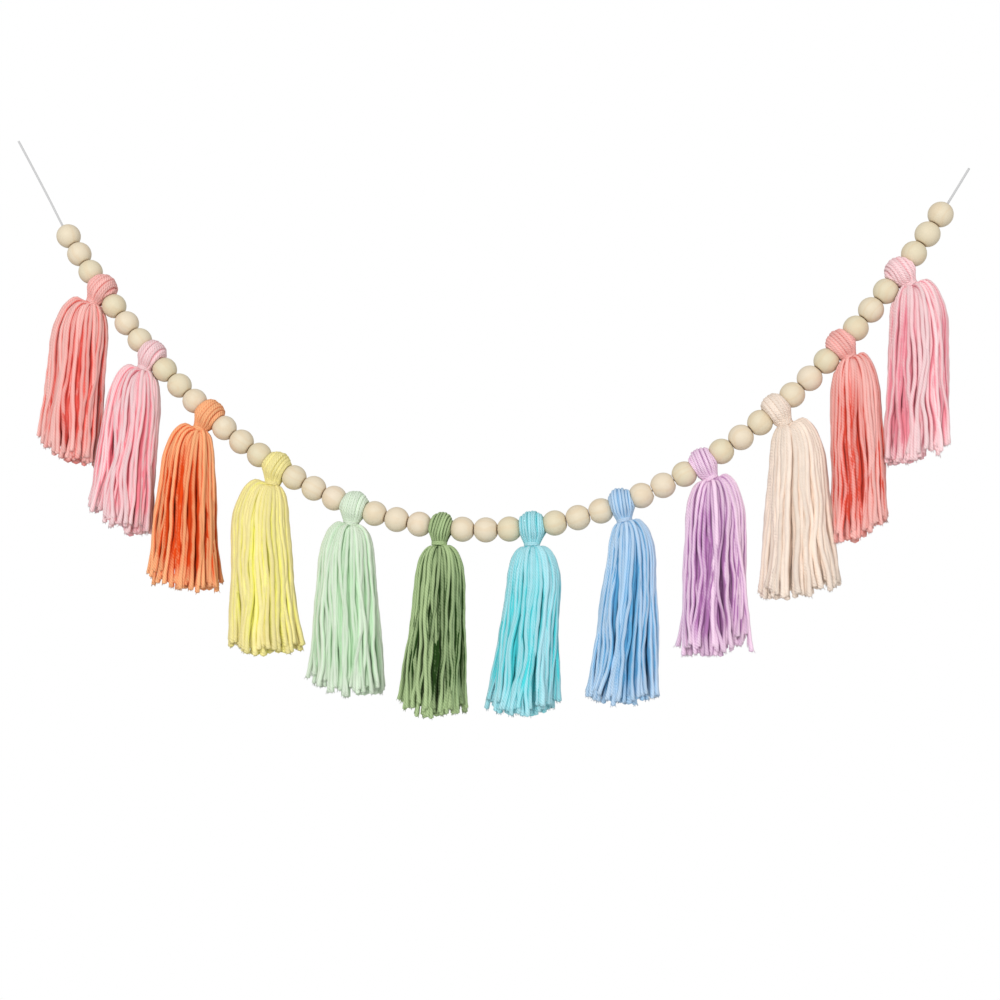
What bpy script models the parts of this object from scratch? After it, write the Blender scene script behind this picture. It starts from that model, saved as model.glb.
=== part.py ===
"""Tassel garland: turned wooden beads and yarn tassels threaded on one string that hangs from its ends.

The string hangs in the XZ plane with its left end at the origin. Beads sit on it in groups of three,
and a tassel hangs between each two groups. Sizes in tables are in millimetres.
"""

import math
import random
from collections import namedtuple

import bmesh
import bpy
import numpy as np
from mathutils import Vector

MM = 0.001

# The string's route from its left end to its right end, in metres across and up
ROUTE = (
    (0.0000, 0.0000),
    (0.0118, -0.0202),
    (0.0236, -0.0407),
    (0.0350, -0.0610),
    (0.0550, -0.0915),
    (0.0750, -0.1185),
    (0.1000, -0.1490),
    (0.1250, -0.1750),
    (0.1550, -0.2015),
    (0.1850, -0.2230),
    (0.2200, -0.2425),
    (0.2550, -0.2560),
    (0.2900, -0.2635),
    (0.3240, -0.2660),
    (0.3580, -0.2635),
    (0.3930, -0.2555),
    (0.4280, -0.2420),
    (0.4630, -0.2230),
    (0.4930, -0.2015),
    (0.5230, -0.1750),
    (0.5480, -0.1485),
    (0.5730, -0.1180),
    (0.5930, -0.0910),
    (0.6140, -0.0590),
    (0.6204, -0.0485),
    (0.6267, -0.0380),
)
SAMPLES_PER_SPAN = 24
STRING_DIAMETER = 1.5 * MM
STRING_BEVEL = 2
LEFT_TAIL = 70.3 * MM
TAIL_STEP = 4.6 * MM

# Beads: balls with a flat end at each mouth of the bore
BEADS_PER_GROUP = 3
BEAD_DIAMETER = 16.0 * MM
BEAD_PITCH = 15.0 * MM
JOINT_GAP = 0.55 * MM
BORE_DIAMETER = 3.0 * MM
BEAD_SIDES = 9
BEAD_RINGS = 5
MERGE_DISTANCE = 0.00001

# Tassel heads: yarn looped over the string, bound at the neck
HEAD_RADIUS = 9.7 * MM
HEAD_REACH = 8.2 * MM
HEAD_SIDES = 9
HEAD_RIBS = 5
RIB_DEPTH = 1.0 * MM
HEAD_ROUNDING = 0.22
BEAD_CLEARANCE = 0.45 * MM
FLAT_RADIUS = 3.5 * MM
RIM_RADIUS = 6.2 * MM
DRAW_START = 2.0 * MM
DRAW_LENGTH = 7.5 * MM
DRAW_ALONG = 0.42
DRAW_DEEP = 0.30

# The bound neck, its tie and the top of the skirt, as a turned profile: radius and height from the tie
STEM_PROFILE = ((0.0, 4.6), (4.2, 1.5), (5.4, 0.0), (4.4, -1.4), (7.6, -5.4), (6.4, -9.0), (0.0, -9.0))
STEM_SIDES = 6

# Skirts: a ring of locks and a smaller ring inside it
SKIRT_TOP_DROP = 25.0
SKIRT_FOOT_DROP = 90.0
SKIRT_DEPTH_SHARE = 0.84
SKIRT_LEAST_DEPTH = 15.5
LOCK_CLEARANCE = 0.7
LOCK_THICKNESS_SHARE = 0.95
FOOT_SAG = 5.0
RAGGED = 3.0

Ring = namedtuple("Ring", "count size phase fill widest thickest levels")
Level = namedtuple("Level", "reach drop rise")
OUTER_RING = Ring(
    count=12,
    size=1.0,
    phase=0.5,
    fill=0.78,
    widest=7.2,
    thickest=5.6,
    levels=(Level(0.24, 5.2, 0.0), Level(0.48, 2.2, 1.2), Level(0.77, 8.0, 0.35), Level(1.0, 25.0, 0.0)),
)
INNER_RING = Ring(
    count=5,
    size=0.5,
    phase=0.55,
    fill=0.72,
    widest=6.2,
    thickest=5.2,
    levels=(Level(0.16, 6.6, 0.0), Level(0.86, 22.0, 0.0)),
)

# One row a tassel: colour, room on the string, the neck's direction from straight down in degrees and its
# distance from the head's middle, how far the skirt reaches left and right of the neck near its top and near
# its foot, its length at either side, and the rise of its dome
Tassel = namedtuple(
    "Tassel", "colour room lean neck left_top right_top left_foot right_foot left_length right_length dome_rise"
)
TASSELS = (
    Tassel("coral_pink", 14.5, -32, 11.0, 28.5, 8.5, 31.0, 7.0, 88.0, 104.0, 5.5),
    Tassel("candy_pink", 12.0, -28, 10.2, 25.5, 11.0, 32.5, 9.2, 86.0, 108.0, 4.5),
    Tassel("orange", 12.5, -32, 10.6, 25.5, 9.5, 31.2, 14.0, 94.0, 100.0, 4.5),
    Tassel("yellow", 13.0, -11, 11.5, 25.0, 11.4, 25.5, 18.0, 104.0, 104.0, 4.0),
    Tassel("mint", 13.5, -9, 10.6, 19.6, 16.0, 22.5, 22.5, 103.0, 103.0, 2.0),
    Tassel("sage", 13.0, -4, 10.4, 16.4, 17.5, 22.5, 19.5, 100.0, 104.0, 0.5),
    Tassel("aqua", 14.0, 0, 11.2, 15.0, 18.5, 24.0, 17.5, 99.0, 99.0, 0.5),
    Tassel("sky_blue", 12.0, 11, 10.3, 11.2, 20.5, 21.5, 23.0, 105.0, 106.0, 2.0),
    Tassel("lilac", 12.0, 26, 10.9, 16.0, 21.5, 19.5, 24.0, 106.0, 103.0, 4.0),
    Tassel("cream", 11.5, 30, 11.0, 10.2, 25.5, 15.6, 33.0, 104.0, 102.0, 4.5),
    Tassel("coral_red", 12.5, 30, 9.4, 10.4, 19.4, 8.0, 22.5, 103.0, 108.0, 4.0),
    Tassel("rose_pink", 14.5, 36, 9.5, 12.2, 22.5, 14.0, 23.0, 105.0, 99.0, 4.5),
)

COLOURS = {
    "coral_pink": (0.84, 0.31, 0.27),
    "candy_pink": (0.84, 0.42, 0.53),
    "orange": (0.80, 0.22, 0.08),
    "yellow": (0.90, 0.78, 0.29),
    "mint": (0.55, 0.81, 0.60),
    "sage": (0.25, 0.40, 0.15),
    "aqua": (0.33, 0.72, 0.80),
    "sky_blue": (0.36, 0.58, 0.87),
    "lilac": (0.70, 0.44, 0.75),
    "cream": (0.88, 0.70, 0.57),
    "coral_red": (0.86, 0.19, 0.16),
    "rose_pink": (0.86, 0.40, 0.48),
    "wood": (0.83, 0.69, 0.47),
    "string": (0.88, 0.88, 0.86),
}

YARN_ROUGHNESS = 0.9
STRING_ROUGHNESS = 0.7
WOOD_ROUGHNESS = 0.6

Item = namedtuple("Item", "centre slope half_room")


def clear_scene():
    for obj in list(bpy.data.objects):
        bpy.data.objects.remove(obj, do_unlink=True)


def make_collection(name):
    collection = bpy.data.collections.new(name)
    bpy.context.scene.collection.children.link(collection)
    return collection


def make_material(name, roughness):
    material = bpy.data.materials.new(name)
    material.use_nodes = True
    shader = material.node_tree.nodes["Principled BSDF"]
    shader.inputs["Base Color"].default_value = (*COLOURS[name], 1.0)
    shader.inputs["Roughness"].default_value = roughness
    shader.inputs["Metallic"].default_value = 0.0
    return material


def place(obj, collection, material, location=(0, 0, 0), turn=0.0):
    """Links the object and turns it about Y, so that its own X runs up the slope."""
    obj.location = location
    obj.rotation_euler = (0.0, -turn, 0.0)
    obj.data.materials.append(material)
    collection.objects.link(obj)
    return obj


def smooth_route():
    """Samples of a smooth curve through the route's points (cubic Hermite spans) and their arc lengths."""
    points = np.array(ROUTE)
    knots = np.concatenate([[0.0], np.cumsum(np.linalg.norm(np.diff(points, axis=0), axis=1))])
    tangents = np.gradient(points, knots, axis=0)
    span = np.diff(knots)[:, None, None]
    t = np.linspace(0.0, 1.0, SAMPLES_PER_SPAN, endpoint=False)[None, :, None]
    first, last = points[:-1, None], points[1:, None]
    leave, arrive = tangents[:-1, None] * span, tangents[1:, None] * span
    curve = (
        (2 * t**3 - 3 * t**2 + 1) * first
        + (t**3 - 2 * t**2 + t) * leave
        + (3 * t**2 - 2 * t**3) * last
        + (t**3 - t**2) * arrive
    )
    samples = np.concatenate([curve.reshape(-1, 2), points[-1:]])
    lengths = np.concatenate([[0.0], np.cumsum(np.linalg.norm(np.diff(samples, axis=0), axis=1))])
    return samples, lengths


def point_at(route, length):
    samples, lengths = route
    return np.array([np.interp(length, lengths, samples[:, 0]), np.interp(length, lengths, samples[:, 1])])


def item_rooms():
    """How much string each bead or head takes, in order along the string."""
    rooms = []
    for tassel in TASSELS:
        rooms += [BEAD_PITCH] * BEADS_PER_GROUP + [tassel.room * MM]
    return rooms + [BEAD_PITCH] * BEADS_PER_GROUP


def thread_items(route):
    """One Item for each bead and head, and the lengths along the string of the joints between them."""
    rooms = item_rooms()
    joints = LEFT_TAIL + np.concatenate([[0.0], np.cumsum(rooms)])
    places = [point_at(route, joint) for joint in joints]
    items = []
    for start, end, room in zip(places[:-1], places[1:], rooms):
        along = end - start
        items.append(Item((start + end) / 2, math.atan2(along[1], along[0]), room / 2))
    return items, joints


def in_space(point):
    return Vector((point[0], 0.0, point[1]))


def mesh_of(name, points, faces):
    """A mesh with its faces turned outwards."""
    mesh = bpy.data.meshes.new(name)
    mesh.from_pydata([tuple(point) for point in points], [], faces)
    shape = bmesh.new()
    shape.from_mesh(mesh)
    bmesh.ops.recalc_face_normals(shape, faces=shape.faces)
    shape.to_mesh(mesh)
    shape.free()
    mesh.shade_smooth()
    return mesh


def profile_mesh(name, profile, closed):
    edges = [(i, i + 1) for i in range(len(profile) - 1)]
    if closed:
        edges.append((len(profile) - 1, 0))
    mesh = bpy.data.meshes.new(name)
    mesh.from_pydata([(radius, 0.0, height) for radius, height in profile], edges, [])
    return mesh


def add_turning(obj, sides):
    turning = obj.modifiers.new("Turned", "SCREW")
    turning.steps = sides
    turning.render_steps = sides
    turning.use_merge_vertices = True
    turning.merge_threshold = MERGE_DISTANCE
    turning.use_smooth_shade = True


def bead_profile():
    """Down the ball from flat to flat, then back up the bore."""
    radius = BEAD_DIAMETER / 2
    half_length = (BEAD_PITCH - JOINT_GAP) / 2
    first = math.acos(half_length / radius)
    profile = []
    for i in range(BEAD_RINGS):
        angle = first + (math.pi - 2 * first) * i / (BEAD_RINGS - 1)
        profile.append((radius * math.sin(angle), radius * math.cos(angle)))
    bore = BORE_DIAMETER / 2
    return profile + [(bore, -half_length), (bore, half_length)]


def make_beads(items, collection, material):
    mesh = profile_mesh("bead profile", bead_profile(), closed=True)
    for number, item in enumerate(items, start=1):
        bead = bpy.data.objects.new(f"bead_{number:02d}", mesh)
        bead.location = in_space(item.centre)
        bead.rotation_euler = (0.0, math.pi / 2 - item.slope, 0.0)
        add_turning(bead, BEAD_SIDES)
        collection.objects.link(bead)
    mesh.materials.append(material)


def make_string(route, joints, collection, material):
    """The string from end to end, with a point at each joint between two beads."""
    end = route[1][-1]
    left = np.linspace(0.0, joints[0], round(joints[0] / TAIL_STEP) + 1)[:-1]
    right = np.linspace(joints[-1], end, round((end - joints[-1]) / TAIL_STEP) + 1)[1:]
    stations = np.concatenate([left, joints, right])
    curve = bpy.data.curves.new("string", "CURVE")
    curve.dimensions = "3D"
    curve.bevel_depth = STRING_DIAMETER / 2
    curve.bevel_resolution = STRING_BEVEL
    curve.use_fill_caps = True
    line = curve.splines.new("POLY")
    line.points.add(len(stations) - 1)
    for point, station in zip(line.points, stations):
        point.co = (*in_space(point_at(route, station)), 1.0)
    place(bpy.data.objects.new("string", curve), collection, material)


def rib_outline():
    """Places along the string and radii of the head's yarn ribs: crests with valleys between them."""
    count = 2 * HEAD_RIBS - 1
    along = np.linspace(-1.0, 1.0, count) * HEAD_REACH * (1 - 1 / (2 * HEAD_RIBS))
    radius = HEAD_RADIUS * (1 - HEAD_ROUNDING * (along / HEAD_REACH) ** 2)
    radius[1::2] -= RIB_DEPTH
    return along, radius


def room_beside_bead(half_room, radius):
    """How far along the string a point at this radius may lie before it meets the next bead."""
    flat = half_room - JOINT_GAP / 2
    ball = BEAD_DIAMETER / 2 + BEAD_CLEARANCE
    reach = half_room + BEAD_PITCH / 2 - np.sqrt(np.maximum(ball**2 - radius**2, 0.0))
    return np.maximum(flat, reach)


def smooth_step(value):
    value = np.clip(value, 0.0, 1.0)
    return value * value * (3 - 2 * value)


def head_points(half_room, shift):
    """The ribbed ring about the string, drawn in towards the neck below it.

    A profile is turned about the string's line (the local X). Below the string the ring narrows and
    moves along by shift, so that it meets the neck, and it stays clear of the beads on both sides.
    """
    bore = BORE_DIAMETER / 2
    flat = half_room - JOINT_GAP / 2
    along, radius = rib_outline()
    rim = room_beside_bead(half_room, RIM_RADIUS)
    along = np.concatenate([[-flat, -flat, -rim], along, [rim, flat, flat]])
    radius = np.concatenate([[bore, FLAT_RADIUS, RIM_RADIUS], radius, [RIM_RADIUS, FLAT_RADIUS, bore]])
    angle = np.linspace(0.0, 2 * math.pi, HEAD_SIDES, endpoint=False)
    x = np.repeat(along[:, None], HEAD_SIDES, axis=1)
    z = radius[:, None] * np.cos(angle)
    y = radius[:, None] * np.sin(angle)
    drawn = smooth_step((-z - DRAW_START) / DRAW_LENGTH)
    x = x * (1 - DRAW_ALONG * drawn) + shift * drawn
    y = y * (1 - DRAW_DEEP * drawn)
    limit = room_beside_bead(half_room, np.hypot(y, z))
    x = np.clip(x, -limit, limit)
    return np.stack([x, y, z], axis=-1)


def ring_faces(rows, columns):
    """Quads over a grid that closes on itself both ways."""
    faces = []
    for i in range(rows):
        for j in range(columns):
            a, b = (i + 1) % rows, (j + 1) % columns
            faces.append((i * columns + j, i * columns + b, a * columns + b, a * columns + j))
    return faces


def make_head(name, tassel, item, collection, material):
    shift = tassel.neck * MM * math.sin(math.radians(tassel.lean) - item.slope)
    points = head_points(item.half_room, shift)
    rows, columns, _ = points.shape
    mesh = mesh_of(name, points.reshape(-1, 3), ring_faces(rows, columns))
    head = bpy.data.objects.new(name, mesh)
    return place(head, collection, material, in_space(item.centre), item.slope)


def make_stem(name, tassel, neck, collection, material):
    profile = [(radius * MM, height * MM) for radius, height in STEM_PROFILE]
    stem = bpy.data.objects.new(name, profile_mesh(name, profile, closed=False))
    add_turning(stem, STEM_SIDES)
    return place(stem, collection, material, neck, math.radians(tassel.lean))


def skirt_edges(tassel, drop):
    """How far the skirt reaches left and right of the neck at this drop."""
    share = max(0.0, drop - SKIRT_TOP_DROP) / (SKIRT_FOOT_DROP - SKIRT_TOP_DROP)
    left = tassel.left_top + (tassel.left_foot - tassel.left_top) * share
    right = tassel.right_top + (tassel.right_foot - tassel.right_top) * share
    return left, right


def skirt_section(tassel, ring, angle, level):
    """One point on the skirt's surface, the direction round it there, and the room round the ring."""
    left, right = skirt_edges(tassel, level.drop)
    middle, half = (right - left) / 2, (right + left) / 2 * ring.size
    deep = max(half * SKIRT_DEPTH_SHARE, SKIRT_LEAST_DEPTH * ring.size)
    outward = math.cos(angle) * (1 if tassel.right_top > tassel.left_top else -1)
    point = Vector(
        (
            level.reach * (middle + half * math.cos(angle)),
            level.reach * deep * math.sin(angle),
            -level.drop + tassel.dome_rise * level.rise * max(0.0, outward),
        )
    )
    around = Vector((-half * math.sin(angle), deep * math.cos(angle), 0.0)).normalized()
    room = 2 * math.pi * level.reach * math.hypot(half, deep) / math.sqrt(2)
    return point, around, room


def foot_drop(tassel, angle, raggedness):
    """The length of a lock: it runs from one side's length to the other's and sags in between."""
    side = math.cos(angle)
    level = (tassel.left_length + tassel.right_length) / 2
    tilt = (tassel.right_length - tassel.left_length) / 2 * side
    return level + tilt + FOOT_SAG * (1 - side * side) + raggedness


def keep_clear(point, balls):
    """Moves a point off the surface of any bead that it is too near to."""
    least = BEAD_DIAMETER / MM / 2 + LOCK_CLEARANCE
    for ball in balls:
        away = point - ball
        if away.length < least:
            point = ball + away.normalized() * least
    return point


def lock_sections(tassel, ring, angle, raggedness, balls):
    """Triangles along a lock: a flat outer side, and a ridge towards the skirt's middle."""
    levels = (*ring.levels, Level(1.0, foot_drop(tassel, angle, raggedness), 0.0))
    places = [skirt_section(tassel, ring, angle, level) for level in levels]
    last = len(places) - 1
    sections = []
    for i, (point, around, room) in enumerate(places):
        inner = max(i, 1)
        before, after = places[inner - 1][0], places[min(inner + 1, last)][0]
        inward = around.cross(after - before).normalized()
        width = min(ring.fill * room / ring.count, ring.widest)
        thickness = min(LOCK_THICKNESS_SHARE * width, ring.thickest)
        corners = (point + around * width / 2, point - around * width / 2, point + inward * thickness)
        sections.append([keep_clear(corner, balls) for corner in corners])
    return sections


def add_lock(points, faces, sections):
    """Adds one lock's skin, with a triangle at each end."""
    first = len(points)
    for section in sections:
        points += [corner * MM for corner in section]
    for i in range(len(sections) - 1):
        for j in range(3):
            a, b = first + 3 * i + j, first + 3 * i + (j + 1) % 3
            faces.append((a, b, b + 3, a + 3))
    faces.append((first, first + 2, first + 1))
    last = first + 3 * (len(sections) - 1)
    faces.append((last, last + 1, last + 2))


def make_locks(name, tassel, neck, balls, collection, material):
    """Both rings of locks, in the neck's own frame."""
    near = [(ball - neck) / MM for ball in balls]
    points, faces = [], []
    dice = random.Random(name)
    for ring in (OUTER_RING, INNER_RING):
        for i in range(ring.count):
            angle = 2 * math.pi * (i + ring.phase) / ring.count
            raggedness = dice.uniform(-RAGGED, RAGGED)
            add_lock(points, faces, lock_sections(tassel, ring, angle, raggedness, near))
    locks = bpy.data.objects.new(name, mesh_of(name, points, faces))
    return place(locks, collection, material, neck)


def join(obj, others):
    """Unites the others with the object by Boolean modifiers and hides them."""
    for other in others:
        union = obj.modifiers.new(f"Union with {other.name}", "BOOLEAN")
        union.operation = "UNION"
        union.solver = "MANIFOLD"
        union.object = other
        other.hide_render = True
        other.display_type = "WIRE"


def make_tassel(number, tassel, item, balls, parts, helpers):
    """Head, neck and skirt of one tassel, united in one object."""
    name = f"tassel_{number:02d}"
    material = make_material(tassel.colour, YARN_ROUGHNESS)
    turn = math.radians(tassel.lean)
    neck = in_space(item.centre) + tassel.neck * MM * Vector((math.sin(turn), 0.0, -math.cos(turn)))
    head = make_head(name, tassel, item, parts, material)
    stem = make_stem(f"{name} stem", tassel, neck, helpers, material)
    locks = make_locks(f"{name} locks", tassel, neck, balls, helpers, material)
    join(head, (stem, locks))


def main():
    clear_scene()
    parts = make_collection("tassel garland")
    helpers = make_collection("joined pieces")
    route = smooth_route()
    items, joints = thread_items(route)
    group = BEADS_PER_GROUP + 1
    heads = items[BEADS_PER_GROUP::group]
    beads = [item for i, item in enumerate(items) if i % group != BEADS_PER_GROUP]
    make_string(route, joints, parts, make_material("string", STRING_ROUGHNESS))
    make_beads(beads, parts, make_material("wood", WOOD_ROUGHNESS))
    for number, (tassel, head) in enumerate(zip(TASSELS, heads), start=1):
        last = BEADS_PER_GROUP * number
        balls = [in_space(bead.centre) for bead in beads[last - BEADS_PER_GROUP : last + BEADS_PER_GROUP]]
        make_tassel(number, tassel, head, balls, parts, helpers)


main()
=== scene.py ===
"""Tassel garland: turned wooden beads and yarn tassels on one white string that hangs from its ends.

The string hangs in the XZ plane with its left end at the origin. Sizes in tables and in shape functions are
in millimetres, and a piece is brought to metres when its mesh is made.
"""

import math
from collections import namedtuple

import bpy
import numpy as np
from bpy.props import FloatProperty, FloatVectorProperty, IntProperty, PointerProperty
from mathutils import Matrix, Vector


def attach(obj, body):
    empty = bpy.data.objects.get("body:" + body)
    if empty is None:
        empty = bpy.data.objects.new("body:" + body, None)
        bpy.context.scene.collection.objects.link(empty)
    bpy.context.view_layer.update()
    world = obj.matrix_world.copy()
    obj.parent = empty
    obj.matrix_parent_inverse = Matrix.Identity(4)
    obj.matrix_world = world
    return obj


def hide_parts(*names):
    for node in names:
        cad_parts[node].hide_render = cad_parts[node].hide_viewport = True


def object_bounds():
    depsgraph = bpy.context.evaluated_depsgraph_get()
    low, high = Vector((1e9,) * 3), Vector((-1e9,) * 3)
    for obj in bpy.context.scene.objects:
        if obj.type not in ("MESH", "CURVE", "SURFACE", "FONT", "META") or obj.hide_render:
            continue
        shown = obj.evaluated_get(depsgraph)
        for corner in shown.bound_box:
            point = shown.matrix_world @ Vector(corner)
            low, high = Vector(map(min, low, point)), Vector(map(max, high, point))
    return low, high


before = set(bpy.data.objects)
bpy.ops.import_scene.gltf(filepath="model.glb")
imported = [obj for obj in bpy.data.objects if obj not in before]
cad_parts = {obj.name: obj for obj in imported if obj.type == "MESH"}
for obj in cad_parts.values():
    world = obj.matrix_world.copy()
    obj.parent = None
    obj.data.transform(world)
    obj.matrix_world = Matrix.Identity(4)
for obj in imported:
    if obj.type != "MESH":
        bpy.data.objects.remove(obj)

CAD_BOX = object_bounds()

bl_info = {
    "name": "Tassel garland",
    "version": (1, 0, 0),
    "blender": (4, 5, 0),
    "location": "View3D > Sidebar > Garland",
    "description": "Makes a garland of wooden beads and yarn tassels on a string",
    "category": "Object",
}

MM = 0.001
TURN = 2 * math.pi
BODY = "root"

# The string's route from its left end to its right end, in metres across and up
ROUTE = (
    (0.0000, 0.0000),
    (0.0118, -0.0202),
    (0.0236, -0.0407),
    (0.0350, -0.0610),
    (0.0550, -0.0915),
    (0.0750, -0.1185),
    (0.1000, -0.1490),
    (0.1250, -0.1750),
    (0.1550, -0.2015),
    (0.1850, -0.2230),
    (0.2200, -0.2425),
    (0.2550, -0.2560),
    (0.2900, -0.2635),
    (0.3240, -0.2660),
    (0.3580, -0.2635),
    (0.3930, -0.2555),
    (0.4280, -0.2420),
    (0.4630, -0.2230),
    (0.4930, -0.2015),
    (0.5230, -0.1750),
    (0.5480, -0.1485),
    (0.5730, -0.1180),
    (0.5930, -0.0910),
    (0.6140, -0.0590),
    (0.6204, -0.0485),
    (0.6267, -0.0380),
)

# Samples of the smooth curve between two of those points
SAMPLES_PER_SPAN = 24

# What is threaded on it
LEFT_TAIL = 70.3
BEADS_PER_GROUP = 3
BEAD_DIAMETER = 16.0
BEAD_PITCH = 15.0
JOINT_GAP = 0.55
BORE_DIAMETER = 3.0
STRING_DIAMETER = 1.5

# Tassel heads and necks: the ball's radius and how far it closes in at its ends, the loops' pitch along
# the ball, the angle to either side over which they run, how much they and the strands swell where
# grooves and gaps are faint, the closed rings' inset under the loops, and the neck's radius
HEAD_RADIUS = 10.3
HEAD_ROUNDING = 0.86
BALL_SPAN = math.asin(math.sqrt(HEAD_ROUNDING))
LOOP_PITCH = 2.0
LOOP_SPAN = 165.0
LOOP_PRESS = 0.36
STRAND_PRESS = 0.26
RING_INSET = 1.1
NECK_RADIUS = 4.2

# The loops' ends in the neck: how far above its middle they start, and how far they run down it
LOOP_TOP = 2.2
LOOP_WAY = 5.2

# A neck's tie: its turns, its height, how far it slants to either side, and how far its ends are tucked
# in
TIE_TURNS = 2.3
TIE_HEIGHT = 2.6
TIE_WOBBLE = 0.35
TIE_TUCK = 2.0

# Skirts: where the reach is measured below the neck, how deep they are as a share of their width and at
# least, how far the cut ends sag between the two sides, and how much higher they are behind
SKIRT_TOP_DROP = 25.0
SKIRT_FOOT_DROP = 90.0
SKIRT_DEPTH_SHARE = 0.84
SKIRT_LEAST_DEPTH = 15.5
FOOT_SAG = 5.0
BACK_RISE = 7.0

# Where on a strand's run something comes on, as its start and the length that it takes: leaving the
# bundle in the neck, hanging freely, the inner layers' sag, the depths that neighbours have on the dome
# and their return from those, strands lying behind others, and the deep patches
BUNDLE_LEFT = (3.0, 7.0)
HANG = (20.0, 65.0)
SAG = (0.0, 25.0)
DOME_DEPTH = (0.0, 8.0)
DOME_RETURN = (8.0, 40.0)
RECESS = (5.0, 20.0)
PATCH = (12.0, 40.0)

# The shortest and longest waves of the strands' slow and quick stray, of their bob, of the sway that
# neighbours share, and of their uneven thickness
SLOW_WAVES = (35.0, 75.0)
QUICK_WAVES = (16.0, 28.0)
BOB_WAVES = (50.0, 90.0)
SWAY_WAVES = (45.0, 120.0)
UNEVEN_WAVES = (9.0, 17.0)

# Strands: the locks that they gather into, how far from the neck's surface they start, the depths of four
# neighbours on the dome, how far they bob, and how far they sink where they part
LOCKS = 9
BUNDLE_INSET = 1.3
BOB = 0.6
NEIGHBOUR_DEPTHS = (0.0, 0.9, 1.7, 2.6)
PATCH_SINK = 1.6

# A strand's way from the neck over the skirt's dome: run along it, share of the skirt's reach, drop below
# the neck, and share of the dome's rise. The dome ends at the run below. From the drop below on strands
# face straight outwards, and at the top they face away from a point that far below them.
Dome = namedtuple("Dome", "run reach drop rise")
DOME = (
    Dome(0.0, 0.05, -2.5, 0.00),
    Dome(4.0, 0.11, 0.6, 0.10),
    Dome(8.0, 0.24, 2.2, 0.60),
    Dome(14.0, 0.46, 2.8, 1.20),
    Dome(21.0, 0.70, 6.2, 0.85),
    Dome(28.5, 0.87, 12.0, 0.25),
    Dome(35.5, 0.96, 18.5, 0.03),
    Dome(42.0, 1.00, 25.0, 0.00),
    Dome(52.0, 1.00, 35.0, 0.00),
    Dome(252.0, 1.00, 235.0, 0.00),
)
DOME_RUN = 42.0
DOME_FOOT = 26.0
DOME_HEART = 14.0

# Layers of strands from the outside of a skirt to its middle: how many, their size and a strand's
# thickness as shares of the outer layer's, how far they sag inside the dome, sides round a strand and
# rings along it, how much painted shade their colour has, and how far they stray. Those inside are drawn
# thicker and close the skirt.
Layer = namedtuple("Layer", "count size thickness sunk sides rows depth wander")
SKIRT_LAYERS = (
    Layer(37, 1.00, 1.00, 0.0, 8, 45, 0.00, 1.0),
    Layer(37, 0.91, 1.00, 1.2, 6, 36, 0.35, 1.0),
    Layer(34, 0.81, 1.10, 3.0, 5, 26, 0.60, 0.5),
    Layer(16, 0.55, 1.70, 6.0, 5, 18, 0.85, 0.5),
)

# One row a yarn: its colour, its painted shade colour for the shade between and beside its strands, where
# round the skirt the strands lie deepest in degrees, how deep they lie there and how much painted shade
# they get for it, how clear the grooves between the head's loops are in shape and painted shade, how far
# the strands stray, and how deep the gaps between them are, which adds painted shade too
Look = namedtuple("Look", "light shade deep_at deep grooves tangle gaps")
LOOKS = {
    "coral_pink": Look((0.87, 0.52, 0.48), (0.80, 0.10, 0.077), -45, 1.0, 0.4, 0.9, 0.8),
    "candy_pink": Look((0.85, 0.65, 0.66), (0.93, 0.24, 0.30), -20, 0.5, 0.2, 0.9, 1.0),
    "orange": Look((0.93, 0.48, 0.24), (0.72, 0.061, 0.004), -85, 1.0, 0.5, 1.2, 1.0),
    "yellow": Look((0.83, 0.725, 0.34), (0.93, 0.90, 0.20), -60, 0.4, 0.0, 0.8, 0.4),
    "mint": Look((0.71, 0.80, 0.66), (0.52, 0.76, 0.49), -60, 0.6, 0.1, 1.1, 1.1),
    "sage": Look((0.45, 0.59, 0.30), (0.011, 0.046, 0.004), -50, 0.75, 1.0, 1.2, 1.1),
    "aqua": Look((0.44, 0.74, 0.81), (0.07, 0.62, 0.67), -115, 0.7, 0.9, 1.1, 0.9),
    "sky_blue": Look((0.54, 0.69, 0.86), (0.11, 0.40, 0.69), -75, 0.8, 1.0, 1.0, 1.2),
    "lilac": Look((0.93, 0.70, 0.85), (0.44, 0.18, 0.43), -105, 0.8, 0.6, 1.6, 1.1),
    "cream": Look((0.82, 0.70, 0.60), (0.95, 0.77, 0.64), -60, 0.3, 0.0, 0.8, 0.4),
    "coral_red": Look((0.91, 0.52, 0.48), (0.68, 0.067, 0.037), -126, 0.95, 0.3, 0.9, 0.9),
    "rose_pink": Look((0.93, 0.69, 0.70), (0.81, 0.27, 0.33), -150, 1.0, 0.3, 1.2, 0.9),
}

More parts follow.
